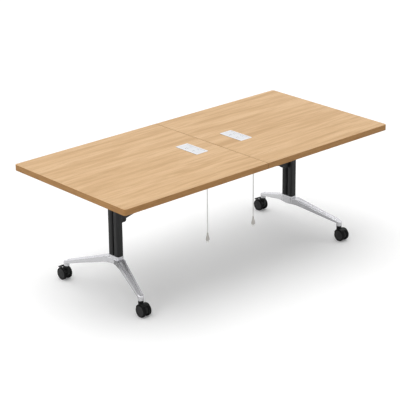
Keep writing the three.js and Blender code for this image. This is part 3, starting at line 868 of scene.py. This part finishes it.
def splayAt(y):
    apex = base["apex"]
    slope = math.sqrt((base["splay"] + apex) ** 2 - apex**2) / base["reach"]
    away = math.hypot(slope * y, apex)
    return away - apex, math.atan(slope * slope * y / away)


def fallAt(y):
    return ramped(abs(y) - base["landing"]) / ramped(base["reach"] - base["landing"])


def topAt(y):
    return base["hubHeight"] + (base["tipTop"] - base["hubHeight"]) * fallAt(y)


def spread(start, end, count):
    return [start + (end - start) * step / count for step in range(count + 1)]


def armSection(y, shrink):
    past = max(abs(y) - base["landing"], 0)
    along = past / (base["reach"] - base["landing"])
    half = base["hubHalfWidth"] + (base["tipRadius"] - base["hubHalfWidth"]) * along - shrink
    depth = base["hubDepth"] + (base["tipDepth"] - base["hubDepth"]) * fallAt(y)
    dish = base["dish"] * min(past / base["knee"], 1)
    top, bottom = topAt(y), topAt(y) - depth
    if shrink:
        low, high = bottom - base["hollowDrop"], top - shrink - dish
        outline = [(-half, low), (half, low), (half, high), (-half, high)]
    else:
        lip = half - base["edge"] - base["dishRim"]
        sunk = [(share * lip, top - dish * (1 - share**2)) for share in spread(1, -1, base["dishSteps"])]
        outline = [(-half, bottom), (half, bottom), (half, top), *sunk, (-half, top)]
    away, turn = splayAt(y)
    across = Vector((math.cos(turn), -math.sin(turn), 0))
    centre = Vector((away, y, 0))
    return [centre + across * out + Vector((0, 0, height)) for out, height in outline]


def longEdges(bm):
    square = sharpEdges(bm, squareAngle)
    return [edge for edge in square if abs(edge.verts[0].co.y - edge.verts[1].co.y) > base["longStep"]]


def isHigh(edge):
    corner = edge.verts[0].co
    return corner.z > topAt(corner.y) - base["topBand"]


def casting():
    landing, kneeEnd, reach = base["landing"], base["landing"] + base["knee"], base["reach"]
    arm = spread(landing, kneeEnd, base["kneeSteps"]) + spread(kneeEnd, reach, base["armSteps"])[1:]
    run = [-y for y in reversed(arm)] + spread(-landing, landing, base["hubSteps"])[1:-1] + arm
    bm = lofted([armSection(y, 0) for y in run])
    roundEdges(bm, [edge for edge in longEdges(bm) if isHigh(edge)], base["edge"], base["edgeSteps"])
    roundEdges(bm, longEdges(bm), base["lowEdge"], segments=2)
    return bm


def boss(end):
    reach, tall = base["reach"], base["tipTop"] - base["tipBottom"]
    middle = Matrix.Translation((base["splay"], end * reach, base["tipBottom"] + tall / 2))
    bm = cylinder(base["tipRadius"], tall, middle, base["tipSegments"])
    slope = (topAt(reach) - topAt(reach - base["slopeRun"])) / base["slopeRun"]
    for vert in bm.verts:
        if vert.co.z > base["tipTop"] - tiny:
            vert.co.z += slope * (abs(vert.co.y) - reach) + base["tipLift"]
    roundCap(bm, max, base["edge"], base["edgeSteps"])
    roundCap(bm, min, base["lowEdge"])
    return bm


def hollow(end):
    ys = spread(base["landing"], base["reach"] - base["tipRadius"] - base["wall"], base["hollowSteps"])
    return lofted([armSection(end * y, base["wall"]) for y in ys])


def stemSocket(end):
    deep, lap = base["stemGrip"], base["socketLap"]
    place = Matrix.Translation((base["splay"], end * base["reach"], base["tipBottom"] + (deep - lap) / 2))
    return cylinder(base["socket"], deep + lap, place, base["socketSegments"])


def columnSeat():
    half, deep = base["hubHalfWidth"], base["seatHalfDepth"]
    low = (-half, -deep, base["hubHeight"] - base["hubDepth"] + base["wall"])
    bm = roundedBar(low, (half, deep, base["seatHeight"]), 2, base["seatCorner"], base["seatSteps"])
    roundCap(bm, max, base["lowEdge"])
    return bm


def makeBase(side):
    solid = combined("UNION", casting(), columnSeat(), boss(-1), boss(1))
    solid = combined("DIFFERENCE", solid, hollow(-1), hollow(1), stemSocket(-1), stemSocket(1))
    front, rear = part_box(f"{side}_front_column"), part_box(f"{side}_rear_column")
    middle = (front[0] + rear[1]) / 2
    turn = Matrix.Rotation(0 if side == "right" else math.pi, 4, "Z")
    solid.transform(Matrix.Translation((middle.x, middle.y, 0)) @ turn)
    # Faces turned upward take the lighter copy of the casting finish: painted sheen on the tops of the arms
    # and hubs
    for face in solid.faces:
        face.material_index = int(face.normal.z > base["topFacing"])
    looks = ["polishedCasting", "castingTopSheen"]
    name = f"{side}_cast_foot"
    finishPiece(name, solid, looks, "frame", "cast_aluminium", f"{side}_base", sharp=base["sharp"])


for side in sides:
    makeBase(side)
print("bases cast")


# Casters: twin wheels on a webbed body with a round neck and a hood, and lugs where a brake pedal hangs
caster = {
    "wheelRadius": 0.0375,
    "wheelWidth": 0.022,
    "wheelSteps": 72,
    "treadRound": 0.0045,
    "treadSteps": 6,
    "faceRadius": 0.0315,
    "faceSink": 0.0022,
    "faceSlope": 0.001,
    "faceLap": 0.0005,
    "backDepth": 0.001,
    "lipRound": 0.0008,
    "lipClear": 0.005,
    "hubRadius": 0.0125,
    "hubSink": 0.0012,
    "boreRadius": 0.0044,
    "boreEnd": 0.017,
    "trail": 0.023,
    "web": 0.014,
    "webRadius": 0.0340,
    "webSegments": 72,
    "webCut": 0.0270,
    "webEase": 0.001,
    "hoodInner": 0.0389,
    "hoodThickness": 0.0025,
    "hoodReach": 0.0260,
    "hoodStart": 0.12 * math.pi,
    "hoodEnd": 0.70 * math.pi,
    "hoodRound": 0.0009,
    "hoodSteps": 28,
    "neckRadius": 0.016,
    "neckSteps": 56,
    "neckHeight": 0.013,
    "neckTop": 0.090,
    "neckEase": 0.0012,
    "shoulderDrop": 0.002,
    "stemBore": 0.0058,
    "stemGap": 0.0004,
    "stemLap": 0.001,
    "boreSegments": 24,
    "axleBore": 0.0043,
    "pinBore": 0.0029,
    "lugRadius": 0.0055,
    "lugSegments": 32,
    "lugSet": 0.0003,
    "lugClear": 0.001,
    "postRise": 0.010,
}
sideways = Matrix.Rotation(math.pi / 2, 4, "Y")


def makeWheel(corner, row):
    node = f"{corner}_{row}_wheel"
    low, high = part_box(node)
    centre = (low + high) / 2
    stemLow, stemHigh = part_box(f"{corner}_caster_stem")
    outward = 1 if centre.x > (stemLow.x + stemHigh.x) / 2 else -1
    inside = low.x if outward > 0 else high.x
    wide, radius, bore = caster["wheelWidth"], caster["wheelRadius"], caster["boreRadius"]
    rim, hub, slope = caster["faceRadius"], caster["hubRadius"], caster["faceSlope"]
    dish, hubTop = wide - caster["faceSink"], wide - caster["hubSink"]
    profile = [
        (0, caster["boreEnd"]), (bore, caster["boreEnd"]), (bore, 0), (radius, 0), (radius, wide),
        (rim, wide), (rim - slope, dish), (hub + slope, dish), (hub, hubTop), (0, hubTop),
    ]
    bm = turnedBody(profile, caster["wheelSteps"])
    treads = [edge for edge in sharpEdges(bm, squareAngle) if edge.verts[0].co.xy.length > radius - tiny]
    roundEdges(bm, treads, caster["treadRound"], caster["treadSteps"])
    lips = [edge for edge in sharpEdges(bm) if edge.verts[0].co.z > wide / 2]
    lips = [edge for edge in lips if bore + tiny < edge.verts[0].co.xy.length < radius - caster["lipClear"]]
    roundEdges(bm, lips, caster["lipRound"], segments=2)
    for face in bm.faces:
        middle = face.calc_center_median()
        within = middle.xy.length < rim + caster["faceLap"]
        face.material_index = int(within and middle.z > caster["backDepth"])
    turn = Matrix.Rotation(outward * math.pi / 2, 4, "Y")
    bm.transform(Matrix.Translation((inside, centre.y, radius)) @ turn)
    facingOut(bm)
    looks = ["wheelTread", "wheelFace"]
    finishPiece(f"{corner}_{row}_roller", bm, looks, bodyOf(node), "wheel_black", node)


def makeHood(axle, rear, braked):
    inner, reach, start = caster["hoodInner"], caster["hoodReach"], caster["hoodStart"]
    outer = inner + caster["hoodThickness"]
    end = math.acos((caster["lugRadius"] + caster["lugClear"]) / inner) if braked else caster["hoodEnd"]
    bm = bmesh.new()
    section = [(-reach, inner), (-reach, outer), (reach, outer), (reach, inner)]
    bm.faces.new([bm.verts.new((x, -rear * radius, 0)) for x, radius in section])
    bm.transform(Matrix.Rotation(-rear * start, 4, "X"))
    bmesh.ops.spin(
        bm,
        geom=bm.verts[:] + bm.edges[:] + bm.faces[:],
        cent=(0, 0, 0),
        axis=(1, 0, 0),
        angle=-rear * (end - start),
        steps=caster["hoodSteps"],
    )
    facingOut(bm)
    roundEdges(bm, sharpEdges(bm, squareAngle), caster["hoodRound"])
    bm.transform(Matrix.Translation(axle))
    return bm


def webDisc(axle):
    place = Matrix.Translation(axle) @ sideways
    bm = cylinder(caster["webRadius"], caster["web"], place, caster["webSegments"])
    cut = bmesh.ops.bisect_plane(
        bm,
        geom=bm.verts[:] + bm.edges[:] + bm.faces[:],
        plane_co=(0, 0, caster["webCut"]),
        plane_no=(0, 0, -1),
        clear_outer=True,
    )["geom_cut"]
    bmesh.ops.contextual_create(bm, geom=[part for part in cut if isinstance(part, bmesh.types.BMEdge)])
    roundEdges(bm, sharpEdges(bm, squareAngle), caster["webEase"], segments=2)
    return bm


def neckForms(stem):
    half, reach, top = caster["web"] / 2, caster["neckRadius"], caster["neckTop"]
    low = (stem.x - half, stem.y - reach, caster["wheelRadius"])
    shoulder = boxed(low, (stem.x + half, stem.y + reach, top - caster["shoulderDrop"]))
    roundEdges(shoulder, sharpEdges(shoulder, squareAngle), caster["webEase"], segments=2)
    neck = turnedDisc(reach, top - caster["neckHeight"], top, caster["neckSteps"])
    roundEdges(neck, sharpEdges(neck, squareAngle), caster["neckEase"])
    neck.transform(Matrix.Translation((stem.x, stem.y, 0)))
    return [shoulder, neck]


def brakeLug(pin):
    slim = caster["web"] / 2 - caster["lugSet"]
    slimmer, wide = slim - caster["lugSet"], caster["lugRadius"] - caster["lugSet"]
    place = Matrix.Translation(pin) @ sideways
    lug = cylinder(caster["lugRadius"], 2 * slim, place, caster["lugSegments"])
    low = (pin.x - slimmer, pin.y - wide, caster["wheelRadius"] + caster["postRise"])
    return [lug, boxed(low, (pin.x + slimmer, pin.y + wide, pin.z))]


def crossBore(place, radius):
    return cylinder(radius, 2 * caster["web"], Matrix.Translation(place) @ sideways, caster["boreSegments"])


def makeWeb(corner):
    node = f"{corner}_caster_web"
    stemLow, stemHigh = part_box(f"{corner}_caster_stem")
    stem = (stemLow + stemHigh) / 2
    rear = 1 if corner.endswith("rear") else -1
    braked = f"{corner}_brake_pedal" in nodes
    axle = Vector((stem.x, stem.y + rear * caster["trail"], caster["wheelRadius"]))
    low, high = stemLow.z - caster["stemGap"], caster["neckTop"] + caster["stemLap"]
    stemBore = turnedDisc(caster["stemBore"], low, high, caster["boreSegments"])
    stemBore.transform(Matrix.Translation((stem.x, stem.y, 0)))
    shells = [webDisc(axle), *neckForms(stem), makeHood(axle, rear, braked)]
    bores = [stemBore, crossBore(axle, caster["axleBore"])]
    if braked:
        pin = Vector(joints[f"{corner}_pedal_press"]["pos_m"])
        shells += brakeLug(pin)
        bores.append(crossBore(pin, caster["pinBore"]))
    solid = combined("DIFFERENCE", combined("UNION", *shells), *bores)
    finishPiece(f"{corner}_caster_body", solid, ["mouldedNylon"], bodyOf(node), "black_plastic", node)


for corner in corners:
    makeWeb(corner)
    for row in ("outer", "inner"):
        makeWheel(corner, row)
print("casters finished")


# Pressed, cast and moulded pieces whose shape is right get eased edges
easedAngle = 50.0
railEase = 0.0006
easedPieces = {
    "beam_socket": ("beam_bracket", 0.0020, "blackCoat", "black_coat"),
    "pivot_head": ("flip_head", 0.0015, "blackCoat", "black_coat"),
    "support_arm": ("top_bearer", 0.0010, "blackCoat", "black_coat"),
    "stop_pad": ("rest_pad", 0.0010, "padRubber", "rubber"),
    "clamp_lever": ("lock_lever", 0.0025, "mouldedNylon", "black_plastic"),
    "module_housing": ("socket_box", 0.0012, "whiteMoulding", "white_plastic"),
    "rear_brake_pedal": ("rear_brake_tab", 0.0009, "mouldedNylon", "black_plastic"),
}


def mergedCopy(node):
    bm = bmesh.new()
    bm.from_mesh(nodes[node].data)
    bmesh.ops.remove_doubles(bm, verts=bm.verts, dist=tiny)
    bmesh.ops.dissolve_limit(bm, angle_limit=math.radians(1), verts=bm.verts, edges=bm.edges)
    return bm


def easedPiece(node, name, ease, look, slot):
    bm = mergedCopy(node)
    roundEdges(bm, sharpEdges(bm, easedAngle), ease)
    bmesh.ops.triangulate(bm, faces=[face for face in bm.faces if len(face.verts) > 4])
    finishPiece(name, bm, [look], bodyOf(node), slot, node)


for side in sides:
    for node, (name, ease, look, slot) in easedPieces.items():
        easedPiece(f"{side}_{node}", f"{side}_{name}", ease, look, slot)
for row in ("front", "rear"):
    easedPiece(f"{row}_rail", f"{row}_channel", railEase, "blackCoat", "black_coat")
print("eased pieces finished")


# Stretcher beam: a rounded tube whose ends sit in the brackets
beam = {"corner": 0.0037, "segments": 6, "wall": 0.002}
bar = roundedBar(*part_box("stretcher_beam"), 0, beam["corner"], beam["segments"])
tube = boreThrough(bar, 0, beam["wall"])
finishPiece("cross_beam", tube, ["blackCoat"], "frame", "black_coat", "stretcher_beam")
print("beam finished")


# Turned steel parts keep their shape and take a finish
for side in sides:
    dress(f"{side}_pivot_shaft", ["turnedSteel"])
for corner in corners:
    for part in ("stem", "axle"):
        dress(f"{corner}_caster_{part}", ["turnedSteel"])
print("steel parts dressed")


# Floor, world and lamps: an even room, a wide soft light from above and behind, a weak fill at the left
studio = {
    "floorReach": 60.0,
    "floorBounce": 0.90,
    "floorColour": 0.98,
    "floorGlow": 0.105,
    "worldLight": 0.46,
    "overheadLight": 1.72,
    "overheadWidth": 66.0,
    "overheadTilt": 9.5,
    "fillPlace": (-6.0, -1.5, 2.2),
    "fillTarget": (0.0, 0.0, 0.5),
    "fillSize": 3.0,
    "fillPower": 45.0,
}


def seenRays(tree):
    path = addNode(tree, "ShaderNodeLightPath")
    seen = path.outputs["Is Camera Ray"]
    for other in ("Is Glossy Ray", "Is Transmission Ray"):
        either = {0: seen, 1: path.outputs[other]}
        seen = addNode(tree, "ShaderNodeMath", either, operation="MAXIMUM").outputs[0]
    return seen


def grey(value):
    return (value, value, value, 1.0)


def makeFloor():
    bm = bmesh.new()
    bmesh.ops.create_grid(bm, x_segments=1, y_segments=1, size=studio["floorReach"])
    floor = asObject(bm, "floor")
    material, tree, shader = startMaterial("paleFloor")
    tree.nodes.remove(shader)
    bounce = addNode(tree, "ShaderNodeBsdfDiffuse", {"Color": grey(studio["floorBounce"])})
    paint = addNode(tree, "ShaderNodeBsdfDiffuse", {"Color": grey(studio["floorColour"])})
    glow = addNode(tree, "ShaderNodeEmission", {"Strength": studio["floorGlow"]})
    shown = addNode(tree, "ShaderNodeAddShader", {0: paint.outputs[0], 1: glow.outputs[0]})
    inputs = {0: seenRays(tree), 1: bounce.outputs[0], 2: shown.outputs[0]}
    either = addNode(tree, "ShaderNodeMixShader", inputs)
    tree.links.new(either.outputs[0], tree.nodes["Material Output"].inputs["Surface"])
    floor.data.materials.append(material)


def addLamp(name, kind, power, turn, place=(0, 0, 0)):
    lamp = bpy.data.lights.new(name, kind)
    lamp.energy = power
    holder = bpy.data.objects.new(name, lamp)
    holder.location = place
    holder.rotation_mode = "QUATERNION"
    holder.rotation_quaternion = turn
    scene.collection.objects.link(holder)
    return lamp


def makeLight():
    world = bpy.data.worlds.new("studioWorld")
    scene.world = world
    world.use_nodes = True
    tree = world.node_tree
    strength = level(tree, seenRays(tree), studio["worldLight"], 1.0, 0.0, 1.0)
    tree.links.new(strength, tree.nodes["Background"].inputs["Strength"])
    tree.nodes["Background"].inputs["Color"].default_value = grey(1.0)
    tilt = math.radians(studio["overheadTilt"])
    down = Vector((0, -math.sin(tilt), -math.cos(tilt)))
    overhead = addLamp("overhead", "SUN", studio["overheadLight"], down.to_track_quat("-Z", "Y"))
    overhead.angle = math.radians(studio["overheadWidth"])
    aim = Vector(studio["fillTarget"]) - Vector(studio["fillPlace"])
    fill = addLamp("fill", "AREA", studio["fillPower"], aim.to_track_quat("-Z", "Y"), studio["fillPlace"])
    fill.shape = "DISK"
    fill.size = studio["fillSize"]


makeFloor()
makeLight()
scene.view_settings.view_transform = "Standard"
print("studio lit")
